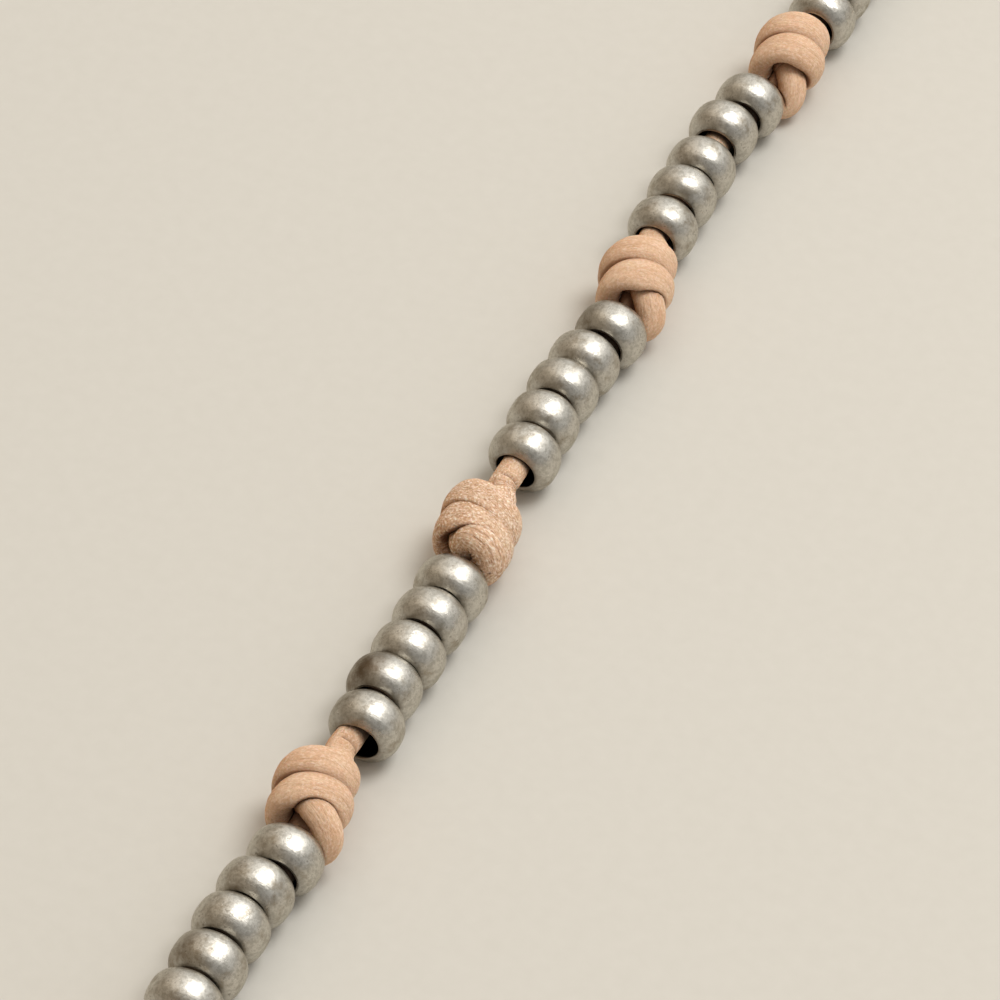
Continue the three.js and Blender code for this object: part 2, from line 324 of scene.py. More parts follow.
def clasp_profile():
    """Half section of the clasp as (along, radius, wear), from one socket's floor to the other's."""
    end = CLASP_LENGTH / 2
    radius = CLASP_DIAMETER / 2
    socket = CLASP_SOCKET_DIAMETER / 2
    floor = end - CLASP_SOCKET_DEPTH
    half = [(floor, CLASP_FLOOR_CENTRE, 1.0), (floor, socket, 1.0)]
    half += [(end - CLASP_CHAMFER, socket, 1.0), (end, socket + CLASP_CHAMFER, 1.0)]
    for turn in CLASP_ROUND_TURNS:
        along = end - CLASP_ROUNDING + CLASP_ROUNDING * math.cos(turn)
        across = radius - CLASP_ROUNDING + CLASP_ROUNDING * math.sin(turn)
        half.append((along, across, CLASP_EDGE_WEAR * math.cos(turn)))
    barrel = np.linspace(end - 2 * CLASP_ROUNDING, CLASP_BARREL_FROM, CLASP_BARREL_ROWS)
    half += [(along, radius, 0.0) for along in barrel]
    return [(-along, across, wear) for along, across, wear in half] + half[::-1]


BEAD_PROFILE = np.array(bead_profile())
CLASP_PROFILE = np.array(clasp_profile())


def string_pose(along, shift, seed):
    """Centre and axes of a piece threaded on the string, with its own small tilt."""
    point, heading = string_place(along)
    forward, right, up = string_axes(heading)
    tilts = (lattice_value(np.array([[seed, 1, 0], [seed, 2, 0]]), TILT_SEED) * 2 - 1) * BEAD_TILT
    forward = unit(forward + tilts[0] * right + tilts[1] * up)
    right = unit(np.cross(forward, up))
    return point + shift * right, forward, right, np.cross(right, forward)


def lathed(profile, pose, seed):
    """Points of a profile turned about a pose's forward axis, their own places for noise, and stains."""
    centre, forward, right, up = pose
    angles = np.arange(BEAD_SIDES) * 2 * math.pi / BEAD_SIDES
    along = np.repeat(profile[:, 0], BEAD_SIDES)
    across = np.repeat(profile[:, 1], BEAD_SIDES)
    turns = np.tile(angles, len(profile))
    own = np.stack((along, across * np.cos(turns), across * np.sin(turns)), axis=1)
    apart = own + seed * APART_STEP
    dent = smooth_noise(apart * WIDE_DENTS, DENT_SEED)
    dent = dent + SMALL_DENT_SHARE * smooth_noise(apart * SMALL_DENTS, DENT_SEED + 1)
    own = own + unit(own) * (dent * DENT_DEPTH)[:, None]
    verts = centre + own[:, :1] * forward + own[:, 1:2] * right + own[:, 2:] * up
    to_right, to_up, dark = BEAD_STAINS.get(seed, NO_STAIN)
    stain = dark * smoothstep(*STAIN_EDGE, unit(own) @ unit(np.array((0.0, to_right, to_up))))
    return verts, apart, stain


def metal_piece(name, profile, closed, poses, seeds, material):
    """One object that holds a turned profile at each of these poses."""
    verts, places, stains, faces = [], [], [], []
    rings = len(profile)
    for i, (pose, seed) in enumerate(zip(poses, seeds)):
        points, own, stain = lathed(profile, pose, seed)
        start = i * rings * BEAD_SIDES
        faces += grid_faces(rings, BEAD_SIDES, closed, start)
        verts.append(points)
        places.append(own)
        stains.append(stain)
    if not closed:
        faces += end_faces(rings, BEAD_SIDES)
    piece = new_piece(name, np.concatenate(verts), faces, material)
    wear = np.tile(np.repeat(profile[:, 2], BEAD_SIDES), len(poses))
    store_values(piece, "wear", "FLOAT", wear)
    store_values(piece, "lathe", "FLOAT_VECTOR", np.concatenate(places))
    store_values(piece, "stain", "FLOAT", np.concatenate(stains))
    return piece


# Leather cord with its knots

CORD_RADIUS = CORD_DIAMETER / 2
CORD_STEP = 0.3
CORD_SEED = 40
SEEDS_PER_STRETCH = 7
FINE = {"sides": 56, "step": 0.085}
COARSE = {"sides": 32, "step": 0.16}
STRAND_GAP = 0.012
BEAD_GAP = 0.03
BEAD_FACE_DEPTH = 0.5
LEAST_RADIUS = 0.1
LEAST_REACH = 1e-4
SEARCH_MARGIN = 0.5

# How far the cord leans in the bores before and after a knot, as right and up, and where from the knot
# the lean begins and ends
LEAN_BEFORE_KNOT = (0.3, -0.25)
LEAN_AFTER_KNOT = (-0.25, 0.3)
LEAN_BEGINS = (2.0, 4.0)
LEAN_ENDS = (11.0, 6.5)

# Unevenness of the leather: depths, and scales along the strand and across it
CORD_COARSE = 0.5
WIDE_LUMP_DEPTH = 0.03
WIDE_LUMP_SCALE = (0.7, 1.1, 1.1)
SMALL_LUMP_DEPTH = 0.02
SMALL_LUMP_SCALE = (1.6, 4.5, 4.5)
PORE_DEPTH = 0.018
PORE_SCALE = (3.2, 5.5, 5.5)
CREASE_DEPTH = 0.12
CREASE_LENGTH = 0.4
CREASE_WANDER = 0.7
CREASE_SCALE = (1.3, 2.2, 2.2)
CREASE_SQUEEZE = (-0.3, 0.5)

# Where the leather is dark: gaps to the next strand (a dark line where strands touch, painted shade where
# they lie close), depths into a bead (painted shade), and the browner side of the cord (painted shade on the
# side that faces left and down)
TOUCHING_GAP = (0.18, -0.05)
CLOSE_GAP = (0.9, 0.0)
CLOSE_PAINTED_SHADE = 0.4
# Painted shade on the cord inside a bead, which grows from this far outside the bead's face to this far
# inside
IN_BEAD_SHADE_DEPTH = (0.3, -0.2)
# Painted shade: the side of the cord that faces left and down is coloured browner
SHADE_SIDE_RIGHT = -0.85
SHADE_SIDE_UP = -0.5
SHADE_SIDE_EDGE = (-0.1, 0.9)

# A knot, along the string from its middle: its ends, where it joins the plain cord, and its wraps in degrees
KNOT_NEAR = -5.2
KNOT_FAR = 4.0
KNOT_JOIN_NEAR = (-2.0, -4.2)
KNOT_JOIN_FAR = (1.6, 2.8)
KNOT_SMOOTHING = 0.34
CURVE_PARTS = 12
WRAP_FIRST = 650
WRAP_LAST = -30
WRAP_STEP = 15
WRAP_MIDDLE = (WRAP_FIRST + WRAP_LAST) / 2
WRAP_TIGHT_SHARE = 0.72
WRAP_TIGHT_TURN = 70

# Points of the strand inside every knot: into the bore, through the middle before and after the wraps, and
# out to the plain cord, where the fourth value is the thickness. The way after the wraps begins at them
STRAND_IN_BORE = ((KNOT_NEAR, 0.0, 0.0), (-4.75, 0.05, -0.05))
STRAND_IN_BORE_FAT = 0.92
CORE_BEFORE_WRAPS = (
    (-1.2, -0.4, 0.4), (-0.7, -0.45, 0.25), (0.2, -0.5, 0.0), (1.0, -0.5, -0.35), (1.6, -0.55, -0.9))
TUCK_AFTER_WRAPS = ((-0.12, -1.0, -1.25), (-0.1, -0.3, -1.15), (0.4, 0.2, -0.8))
CORE_AFTER_WRAPS = ((-0.9, 0.45, -0.4), (0.0, 0.5, -0.1), (0.7, 0.55, 0.15))
FLARE = ((1.4, 0.6, 0.3, 1.25), (2.1, 0.38, 0.24, 1.2), (2.8, 0.14, 0.16, 1.12), (3.4, 0.03, 0.04, 1.04))
FLARE_SEAM = 0.2
# Painted shade on the strand's hidden parts, in the bore and the knot's middle
HOLLOW_SHADE = 3.0

# Ways that the strand comes out of a knot, from the bead's bore back to the middle of the knot: low at
# the knot's right side, high over its near face, and in a short loop on the near face
EXIT_LOW = np.array((
    (-4.5, 0.4, -0.25), (-4.2, 0.7, -0.45), (-3.9, 1.0, -0.6), (-3.55, 1.35, -0.35),
    (-3.1, 1.4, 0.05), (-2.5, 1.05, 0.35), (-2.0, 0.6, 0.45), (-1.5, 0.25, 0.45)))
EXIT_HIGH = np.array((
    (-4.45, 0.5, -0.55), (-4.1, 0.95, -0.9), (-3.7, 1.5, -0.95), (-3.45, 1.8, -0.4),
    (-3.3, 1.7, 0.5), (-3.15, 1.05, 1.1), (-3.0, 0.3, 1.0), (-2.5, -0.3, 0.6)))
EXIT_LOOP = np.array((
    (-4.2, 0.25, 0.05), (-3.8, 1.0, 0.0), (-3.5, 1.6, 0.5), (-3.35, 1.7, 1.25),
    (-3.2, 1.5, 1.8), (-3.05, 0.95, 2.05), (-2.9, 0.45, 1.65), (-2.75, 0.05, 0.7)))
EXIT_SHARES = (0.1, 0.45, 0.85, 1, 1, 1, 1, 1)


def exit_path(swing, to_right, to_up):
    """A strand between the low and the high way out, moved to the right and up."""
    return EXIT_LOW + swing * (EXIT_HIGH - EXIT_LOW) + np.outer(EXIT_SHARES, (0.0, to_right, to_up))


# Ways that single knots differ. exit: the strand that comes out, slim: its thickness, wrap: radius of the
# wraps' middle line, pitch: from one wrap to the next, middle: place of the wraps, lean: how far their
# right side comes nearer, fat: thickness of the wraps, flat: how much wider than thick they are pressed,
# seam: how dark the line between them is and how much painted shade lies beside it, coarse: how rough the
# leather is, yaw and roll: degrees
KNOT_STYLES = {
    6: {"exit": exit_path(0.4, 0.65, 0.6), "slim": 1.02, "wrap": 1.95, "pitch": 2.2, "middle": -0.3,
        "lean": -0.08, "fat": 1.1, "flat": 1.3, "seam": 0.8, "coarse": 0.35, "yaw": 15, "roll": 0},
    7: {"exit": EXIT_LOOP, "slim": 1.13, "wrap": 2.05, "pitch": 2.0, "middle": -0.55,
        "lean": 0.36, "fat": 1.13, "flat": 1.45, "seam": 0.25, "coarse": 1.0, "yaw": 9, "roll": 0},
    8: {"exit": exit_path(0.0, 0.85, 0.15), "slim": 1.06, "wrap": 1.95, "pitch": 2.3, "middle": -0.6,
        "lean": -0.1, "fat": 1.13, "flat": 1.35, "seam": 0.7, "coarse": 0.3, "yaw": 18, "roll": 0},
    9: {"exit": exit_path(0.0, 0.1, -0.6), "slim": 1.04, "wrap": 1.9, "pitch": 2.35, "middle": -0.05,
        "lean": -0.06, "fat": 1.12, "flat": 1.35, "seam": 0.7, "coarse": 0.3, "yaw": 13, "roll": 0},
}

# A dark nick in the strand of one knot: the knot's number, its middle and direction there, and its size
NICK_KNOT = 7
NICK_MIDDLE = (-4.25, 2.6, 0.75)
NICK_WAY = (0.657, -0.294, 0.695)
NICK_HALF_LENGTH = 0.4
NICK_HALF_WIDTH = 0.13
NICK_FULL_LENGTH = 0.6 * NICK_HALF_LENGTH
NICK_FULL_WIDTH = 0.4 * NICK_HALF_WIDTH

# Random draws for the knots that aren't listed
STYLE_SEED = 21
STYLE_DRAWS = 6


def knot_style(index):
    """The style of a knot: as listed, or one of its own between the listed ones."""
    if index in KNOT_STYLES:
        return KNOT_STYLES[index]
    draws = lattice_value(np.array([[index, k, 3] for k in range(STYLE_DRAWS)]), STYLE_SEED)
    return {"exit": exit_path(0.7 * draws[0], 0.7, 0.3 * draws[0]), "slim": 1.02, "wrap": 1.95,
            "pitch": 2.0 + 0.2 * draws[1], "middle": -0.3 - 0.3 * draws[2], "lean": 0.3 * (draws[1] - 0.5),
            "fat": 1.08 + 0.06 * draws[3], "flat": 1.35, "seam": 0.6, "coarse": 0.5,
            "yaw": 8 + 8 * draws[4], "roll": 40 * (draws[5] - 0.5)}


def strand_rows(points, coarse, fat=1.0, flat=1.0, seam=1.0):
    """Points of a strand as rows: along, right, up, thickness, flatness, darkness of seams and of the
    painted shade beside them, roughness.
    """
    return [(*point, fat, flat, seam, coarse) for point in points]


def knot_points(style):
    """Middle line of the tied strand from the near side to the far side, as strand rows."""
    slant = math.tan(math.radians(style["yaw"]))
    coarse = style["coarse"]
    wraps = []
    for turn in range(WRAP_FIRST, WRAP_LAST - 1, -WRAP_STEP):
        angle = math.radians(turn)
        grown = smoothstep(WRAP_FIRST, WRAP_FIRST - WRAP_TIGHT_TURN, turn)
        reach = style["wrap"] * (WRAP_TIGHT_SHARE + (1 - WRAP_TIGHT_SHARE) * grown)
        across = -reach * math.cos(angle)
        along = style["middle"] + style["pitch"] * (turn - WRAP_MIDDLE) / 360 - style["lean"] * across
        wraps.append((along, across - slant * along, reach * math.sin(angle)))
    wraps_end = wraps[-1][0]
    tuck = tuple((wraps_end + along, across, up) for along, across, up in TUCK_AFTER_WRAPS)
    return np.array(
        strand_rows(STRAND_IN_BORE, coarse, seam=HOLLOW_SHADE)
        + strand_rows(style["exit"][:2], coarse, STRAND_IN_BORE_FAT, seam=HOLLOW_SHADE)
        + strand_rows(style["exit"][2:], coarse, style["slim"])
        + strand_rows(CORE_BEFORE_WRAPS, coarse, seam=HOLLOW_SHADE)
        + strand_rows(wraps, coarse, style["fat"], style["flat"], style["seam"])
        + strand_rows(tuck + CORE_AFTER_WRAPS, coarse, seam=HOLLOW_SHADE)
        + [(along, across, up, fat, 1.0, FLARE_SEAM, coarse) for along, across, up, fat in FLARE]
        + strand_rows(((KNOT_FAR, 0.0, 0.0),), coarse))


def lengths_along(line):
    """Length along a line at each of its points."""
    return np.concatenate(([0], np.cumsum(np.linalg.norm(np.diff(line, axis=0), axis=1))))


def even_steps(curve, step):
    """The same strand rows at even steps of length."""
    lengths = lengths_along(curve[:, :3])
    count = max(2, int(round(lengths[-1] / step)) + 1)
    places = np.linspace(0, lengths[-1], count)
    return np.stack([np.interp(places, lengths, column) for column in curve.T], axis=1)


def smooth_curve(points, step):
    """A smooth line along the points with even steps."""
    ends = np.vstack((2 * points[0] - points[1], points, 2 * points[-1] - points[-2]))
    parts = np.linspace(0, 1, CURVE_PARTS, endpoint=False)[:, None]
    curve = []
    for a, b, c, d in zip(ends, ends[1:], ends[2:], ends[3:]):
        curve.append(0.5 * (2 * b + (c - a) * parts + (2 * a - 5 * b + 4 * c - d) * parts ** 2
                            + (3 * b - a - 3 * c + d) * parts ** 3))
    curve = even_steps(np.vstack(curve + [points[-1:]]), step)
    for _ in range(int(2 * (KNOT_SMOOTHING / step) ** 2)):
        curve[1:-1] = 0.5 * curve[1:-1] + 0.25 * (curve[:-2] + curve[2:])
    return even_steps(curve, step)


def cord_place(along):
    """Point on the cord's axis. In the beads next to a knot it leans to one side of the bores."""
    point, heading = string_place(along)
    _, right, up = string_axes(heading)
    gap = min((along - knot for knot in KNOTS), key=abs)
    lean = smoothstep(*LEAN_BEGINS, abs(gap)) * smoothstep(*LEAN_ENDS, abs(gap))
    to_right, to_up = LEAN_BEFORE_KNOT if gap < 0 else LEAN_AFTER_KNOT
    return point + lean * (to_right * right + to_up * up)


def knot_line(knot, style, step):
    """Middle line of a knot in the necklace's frame, in millimetres, and its strand's shape values."""
    rows = smooth_curve(knot_points(style), step)
    local = rows[:, :3]
    roll = math.radians(style["roll"])
    across = local[:, 1] * math.cos(roll) + local[:, 2] * math.sin(roll)
    up = local[:, 2] * math.cos(roll) - local[:, 1] * math.sin(roll)
    middle, heading = string_place(knot)
    forward, right, upward = string_axes(heading)
    line = middle + local[:, :1] * forward + across[:, None] * right + up[:, None] * upward
    for i, along in enumerate(local[:, 0]):
        share = max(smoothstep(*KNOT_JOIN_NEAR, along), smoothstep(*KNOT_JOIN_FAR, along))
        if share > 0:
            line[i] += share * (cord_place(knot + along) - middle - along * forward)
    return line, rows[:, 3:]


def plain_shape(run):
    """Shape values of an untied run of cord."""
    return np.tile((1.0, 1.0, 1.0, CORD_COARSE), (len(run), 1))


def cord_line(start, end, styles, step):
    """Middle line of a stretch of cord with its knots, and the strand's shape values along it."""
    pieces, shapes = [], []
    here = start
    for knot, style in styles:
        run = np.array([cord_place(s) for s in np.arange(here, knot + KNOT_NEAR - CORD_STEP / 2, CORD_STEP)])
        line, shape = knot_line(knot, style, step)
        pieces += [run, line]
        shapes += [plain_shape(run), shape]
        here = knot + KNOT_FAR + CORD_STEP
    run = np.array([cord_place(s) for s in np.append(np.arange(here, end, CORD_STEP), end)])
    return np.vstack(pieces + [run]), np.vstack(shapes + [plain_shape(run)])


def carried_frames(line):
    """Tangents and two cross directions along a line, turned as little as possible."""
    tangents = unit(np.gradient(line, axis=0))
    side = np.cross(tangents[0], (0.0, 0.0, 1.0))
    sides = []
    for tangent in tangents:
        side = unit(side - (side @ tangent) * tangent)
        sides.append(side)
    sides = np.array(sides)
    return tangents, sides, np.cross(tangents, sides)


def free_radius(line, directions, most):
    """How far each direction can go before it is nearer to another part of the strand, and which part."""
    limits = np.full(directions.shape[:2], most)
    nearest = np.tile(np.arange(len(line))[:, None], (1, directions.shape[1]))
    for i in range(len(line)):
        close = np.flatnonzero(np.linalg.norm(line - line[i], axis=1) < 2 * most + SEARCH_MARGIN)
        close = close[close != i]
        gaps = line[close] - line[i]
        reach = directions[i] @ gaps.T
        squares = (gaps ** 2).sum(axis=1)
        with np.errstate(divide="ignore", invalid="ignore"):
            limit = np.where(reach > LEAST_REACH, squares / (2 * reach), np.inf)
        least = limit.min(axis=1)
        nearest[i] = np.where(least < most, close[limit.argmin(axis=1)], i)
        limits[i] = np.minimum(most, least)
    return limits, nearest


def clear_of_beads(verts, poses):
    """Moves cord points that would be inside a bead's metal to its end face or into its bore."""
    for centre, forward, _, _ in poses:
        offset = verts - centre
        along = offset @ forward
        outward = offset - along[:, None] * forward
        across = np.linalg.norm(outward, axis=1)
        room = np.clip(1 - (across / BEAD_RADIUS) ** BEAD_FULLNESS, 0, 1)
        swell = BEAD_SWELL * room ** (1 / BEAD_FULLNESS)
        face = np.minimum(BEAD_HALF, swell) + BEAD_GAP
        inside = (np.abs(along) < face) & (across > BORE_RADIUS - BEAD_GAP) & (across < BEAD_RADIUS)
        at_face = inside & (np.abs(along) > BEAD_HALF - BEAD_FACE_DEPTH)
        move = np.where(at_face, np.sign(along) * face - along, 0.0)
        verts = verts + move[:, None] * forward
        in_bore = inside & ~at_face
        shrink = np.where(in_bore, (BORE_RADIUS - BEAD_GAP) / np.maximum(across, LEAST_REACH) - 1, 0.0)
        verts = verts + shrink[:, None] * outward
    return verts


def painted_shade_in_beads(verts, poses):
    """How much painted shade each cord point has inside the beads, from 0 to 1."""
    grime = np.zeros(len(verts))
    for centre, forward, _, _ in poses:
        offset = verts - centre
        along = offset @ forward
        across = np.linalg.norm(offset - along[:, None] * forward, axis=1)
        grime += smoothstep(*IN_BEAD_SHADE_DEPTH, np.abs(along) - BEAD_HALF) * (across < BORE_RADIUS)
    return np.minimum(grime, 1.0)


def nick_at(verts):
    """How much of the dark nick each cord point has, from 0 to 1."""
    middle, heading = string_place(KNOTS[NICK_KNOT])
    axes = np.array(string_axes(heading))
    offset = verts - middle - np.array(NICK_MIDDLE) @ axes
    way = unit(np.array(NICK_WAY) @ axes)
    along = offset @ way
    across = np.linalg.norm(offset - along[:, None] * way, axis=1)
    lengthwise = smoothstep(NICK_HALF_LENGTH, NICK_FULL_LENGTH, np.abs(along))
    return lengthwise * smoothstep(NICK_HALF_WIDTH, NICK_FULL_WIDTH, across)


def strand_places(lengths, angles):
    """Own place of each cord point: how far along the strand it is, and its direction across."""
    along = np.repeat(lengths, len(angles))
    across = np.tile(np.cos(angles), len(lengths))
    return np.stack((along, across, np.tile(np.sin(angles), len(lengths))), axis=1)


def flattened(ring, forward, flat):
    """Share of its radius that a strand has in each direction, where it is pressed wider than thick."""
    lengthwise = np.abs(ring @ forward)
    return 1 / np.sqrt((lengthwise / flat) ** 2 + (1 - lengthwise ** 2) * flat ** 2)


def lumps(strand, seed):
    """Height of the leather's wide and small lumps."""
    wide = WIDE_LUMP_DEPTH * smooth_noise(strand * WIDE_LUMP_SCALE, seed)
    return wide + SMALL_LUMP_DEPTH * smooth_noise(strand * SMALL_LUMP_SCALE, seed + 1)


def seam_and_painted_shade(gap, seam, nearest):
    """How dark the leather is where the strand lies close to another part of itself, from 0 to 1: a dark
    line where it touches, and painted shade where it is near.
    """
    either = np.maximum(seam[:, None], np.minimum(seam[nearest], 1.0))
    touching = either * smoothstep(*TOUCHING_GAP, gap)
    # Painted shade in the hollows near another part of the strand
    close = CLOSE_PAINTED_SHADE * seam[:, None] * smoothstep(*CLOSE_GAP, gap)
    return np.clip(np.maximum(touching, close), 0, 1)


def creased(strand, squeeze, rough, seed):
    """Creases across the strand on the inner side of its bends, from 0 to 1."""
    wander = CREASE_WANDER * smooth_noise(strand * CREASE_SCALE, seed + 2)
    ripple = np.sin(2 * math.pi * (strand[:, 0] / CREASE_LENGTH + wander))
    return squeeze * rough * (0.5 + 0.5 * ripple).reshape(squeeze.shape)


def pores(strand, seed):
    """Depth of the leather's pores."""
    return PORE_DEPTH * np.clip(smooth_noise(strand * PORE_SCALE, seed + 3), 0, 1)


def cord_piece(name, start, end, styles, fineness, bead_poses, seed, material):
    """One stretch of leather cord with its knots, as a single closed tube."""
    count, step = fineness["sides"], fineness["step"]
    line, shape = cord_line(start, end, styles, step)
    fat, flat, seam, coarse = shape.T
    tangents, sides, ups = carried_frames(line)
    angles = np.arange(count) * 2 * math.pi / count
    ring = np.cos(angles)[None, :, None] * sides[:, None] + np.sin(angles)[None, :, None] * ups[:, None]
    grid = ring.shape[:2]
    lengths = lengths_along(line)
    strand = strand_places(lengths, angles)
    forward, right, up = string_axes(string_place((start + end) / 2)[1])
    full = CORD_RADIUS * fat[:, None] * flattened(ring, forward, flat[:, None])
    full = full + lumps(strand, seed).reshape(grid)
    limits, nearest = free_radius(line, ring, CORD_DIAMETER)
    bend = np.gradient(tangents, axis=0) / np.gradient(lengths)[:, None]
    squeeze = smoothstep(*CREASE_SQUEEZE, np.einsum("rsk,rk->rs", ring, bend) * full)
    rough = np.repeat(coarse, count).reshape(grid)
    crease = creased(strand, squeeze, rough, seed)
    radius = np.minimum(full, limits - STRAND_GAP) - CREASE_DEPTH * crease
    radius = np.maximum(radius - pores(strand, seed).reshape(grid), LEAST_RADIUS)
    verts = (line[:, None] + radius[..., None] * ring).reshape(-1, 3)
    verts = clear_of_beads(verts, bead_poses)
    faces = grid_faces(len(line), count, False) + end_faces(len(line), count)
    # Painted shade: the cord is browner on its side that faces this way, left and down
    outward = unit(SHADE_SIDE_RIGHT * right + SHADE_SIDE_UP * up)
    piece = new_piece(name, verts, faces, material)
    store_values(piece, "strand", "FLOAT_VECTOR", strand)
    store_values(piece, "pressed", "FLOAT", seam_and_painted_shade(limits - full, seam, nearest))
    store_values(piece, "crease", "FLOAT", crease)
    store_values(piece, "coarse", "FLOAT", rough)
    store_values(piece, "patina", "FLOAT", smoothstep(*SHADE_SIDE_EDGE, ring @ outward))
    store_values(piece, "nick", "FLOAT", nick_at(verts))
    store_values(piece, "grime", "FLOAT", painted_shade_in_beads(verts, bead_poses))
    return piece


# Materials

# Colours

SILVER_DEEP = (0.44, 0.415, 0.365, 1)
SILVER_LIGHT = (0.67, 0.64, 0.58, 1)
SILVER_GLINT = (0.78, 0.75, 0.69, 1)
SILVER_AT_EDGES = (0.85, 0.83, 0.78, 1)
TARNISH_BROWN = (0.25, 0.20, 0.135, 1)
PIT_DARK = (0.16, 0.135, 0.10, 1)
STAIN_BROWN = (0.11, 0.07, 0.035, 1)
LIP_GREY = (0.16, 0.14, 0.11, 1)
# Painted shade inside the bores
BORE_PAINTED_SHADE = (0.015, 0.012, 0.009, 1)
LEATHER_DEEP = (0.675, 0.42, 0.258, 1)
LEATHER_LIGHT = (0.775, 0.525, 0.35, 1)
# Painted shade on the cord's side that faces left and down
LEATHER_SIDE_SHADE = (0.62, 0.26, 0.065, 1)
FIBRE_BROWN = (0.50, 0.27, 0.145, 1)
SPECK_BROWN = (0.36, 0.17, 0.085, 1)
SPECK_PALE = (0.97, 0.82, 0.68, 1)
FOLD_BROWN = (0.40, 0.19, 0.09, 1)
# Painted shade in the valleys of the creases
CREASE_SHADE_BROWN = (0.38, 0.18, 0.085, 1)
# Dark line where strands touch, and painted shade where they lie close
SEAM_AND_SHADE_BROWN = (0.17, 0.065, 0.025, 1)
NICK_DARK = (0.10, 0.012, 0.006, 1)
# Painted shade on the cord inside the beads
IN_BEAD_SHADE = (0.045, 0.025, 0.015, 1)
FLOOR_DEEP = (0.595, 0.565, 0.505, 1)
FLOOR_LIGHT = (0.63, 0.60, 0.54, 1)

# How much each colour covers the one below it, from 0 to 1
TARNISH_AMOUNT = 0.6
PIT_AMOUNT = 0.6
GLINT_AMOUNT = 0.6
LIP_AMOUNT = 0.45
SIDE_SHADE_AMOUNT = 0.7
FIBRE_AMOUNT = 0.3
FOLD_AMOUNT = 0.4
CREASE_SHADE_AMOUNT = 0.7
SEAM_AND_SHADE_AMOUNT = 0.85
IN_BEAD_SHADE_AMOUNT = 0.9

# Scales of the patterns along the strand or the bead's axis and across it, and heights of bumps in metres
TURNING_STRETCH = (6.0, 0.7, 0.7)
MOTTLE_STRETCH = (0.45, 0.9, 0.9)
FIBRE_STRETCH = (2.2, 8.0, 8.0)
SPECK_STRETCH = (6.5, 7.5, 7.5)
FOLD_STRETCH = (0.7, 3.6, 3.6)
SILVER_BUMP_HEIGHT = 0.00012
LEATHER_BUMP_HEIGHT = 0.00015
LEATHER_GLOW = (1.0, 0.35, 0.15)
LEATHER_GLOW_SCALE = 0.0006


class Nodes:
    """Makes the nodes of one material, each in a short call."""

    def __init__(self, tree):
        self.tree = tree
        self.tree.nodes.clear()

    def add(self, kind, sockets=None, **settings):
        node = self.tree.nodes.new(kind)
        for key, value in settings.items():
            setattr(node, key, value)
        for key, value in (sockets or {}).items():
            socket = node.inputs[key]
            if isinstance(value, bpy.types.NodeSocket):
                self.tree.links.new(value, socket)
            else:
                socket.default_value = value
        return node

    def stored(self, name, output):
        return self.add("ShaderNodeAttribute", attribute_name=name).outputs[output]

    def noise(self, vector, scale, detail=4.0, roughness=0.55):
        sockets = {"Vector": vector, "Scale": scale, "Detail": detail, "Roughness": roughness}
        return self.add("ShaderNodeTexNoise", sockets).outputs["Fac"]

    def stretch(self, vector, scale):
        return self.add("ShaderNodeMapping", {"Vector": vector, "Scale": scale}).outputs["Vector"]

    def span(self, value, low, high, to_low=0.0, to_high=1.0):
        sockets = {"Value": value, "From Min": low, "From Max": high, "To Min": to_low, "To Max": to_high}
        return self.add("ShaderNodeMapRange", sockets, interpolation_type="SMOOTHSTEP").outputs["Result"]

    def maths(self, operation, *values):
        return self.add("ShaderNodeMath", dict(enumerate(values)), operation=operation).outputs[0]

    def mix(self, factor, first, second):
        return self.add("ShaderNodeMix", {0: factor, 6: first, 7: second}, data_type="RGBA").outputs[2]

    def bump(self, height, strength, distance):
        sockets = {"Height": height, "Strength": strength, "Distance": distance}
        return self.add("ShaderNodeBump", sockets).outputs["Normal"]

    def surface(self, sockets):
        shader = self.add("ShaderNodeBsdfPrincipled", sockets)
        self.add("ShaderNodeOutputMaterial", {"Surface": shader.outputs["BSDF"]})


def new_material(name):
    material = bpy.data.materials.new(name)
    material.use_nodes = True
    return material, Nodes(material.node_tree)


def aged_silver():
    """Satin grey metal with soft tarnish, dark bore edges, painted shade inside the bore, fine scratches and
    small pits.
    """
    material, n = new_material("aged_silver")
    place = n.stored("lathe", "Vector")
    wear = n.stored("wear", "Fac")
    stain = n.stored("stain", "Fac")
    cloud = n.noise(place, 0.7, 5.0, 0.65)
    fine = n.noise(place, 3.2, 6.0, 0.68)
    tarnish = n.span(cloud, 0.50, 0.70)
    speck = n.span(fine, 0.55, 0.68)
    glint = n.span(n.noise(place, 5.0, 3.0, 0.5), 0.66, 0.74)
    clean = n.mix(n.span(fine, 0.35, 0.65), SILVER_DEEP, SILVER_LIGHT)
    dulled = n.mix(n.maths("MULTIPLY", tarnish, TARNISH_AMOUNT), clean, TARNISH_BROWN)
    pitted = n.mix(n.maths("MULTIPLY", speck, PIT_AMOUNT), dulled, PIT_DARK)
    bright = n.mix(n.maths("MULTIPLY", glint, GLINT_AMOUNT), pitted, SILVER_GLINT)
    patchy = n.maths("MULTIPLY", stain, n.span(cloud, 0.35, 0.6, 0.6, 1.0))
    browned = n.mix(patchy, bright, STAIN_BROWN)
    rubbed = n.mix(n.span(wear, 0.0, 1.0, 0.0, LIP_AMOUNT), browned, LIP_GREY)
    # Painted shade: the metal inside the bore is near black
    colour = n.mix(n.span(wear, 1.0, BORE_SHADE_MARK), rubbed, BORE_PAINTED_SHADE)
    rough = n.maths("ADD", n.span(cloud, 0.3, 0.7, 0.27, 0.37), n.maths("MULTIPLY", speck, 0.12))
    turning = n.noise(n.stretch(place, TURNING_STRETCH), 2.2, 4.0, 0.6)
    height = n.maths("ADD", n.maths("MULTIPLY", turning, 0.5), n.maths("MULTIPLY", fine, 0.7))
    normal = n.bump(height, 0.3, SILVER_BUMP_HEIGHT)
    n.surface({"Base Color": colour, "Metallic": 1.0, "Roughness": rough, "Normal": normal,
               "Specular Tint": SILVER_AT_EDGES})
    return material


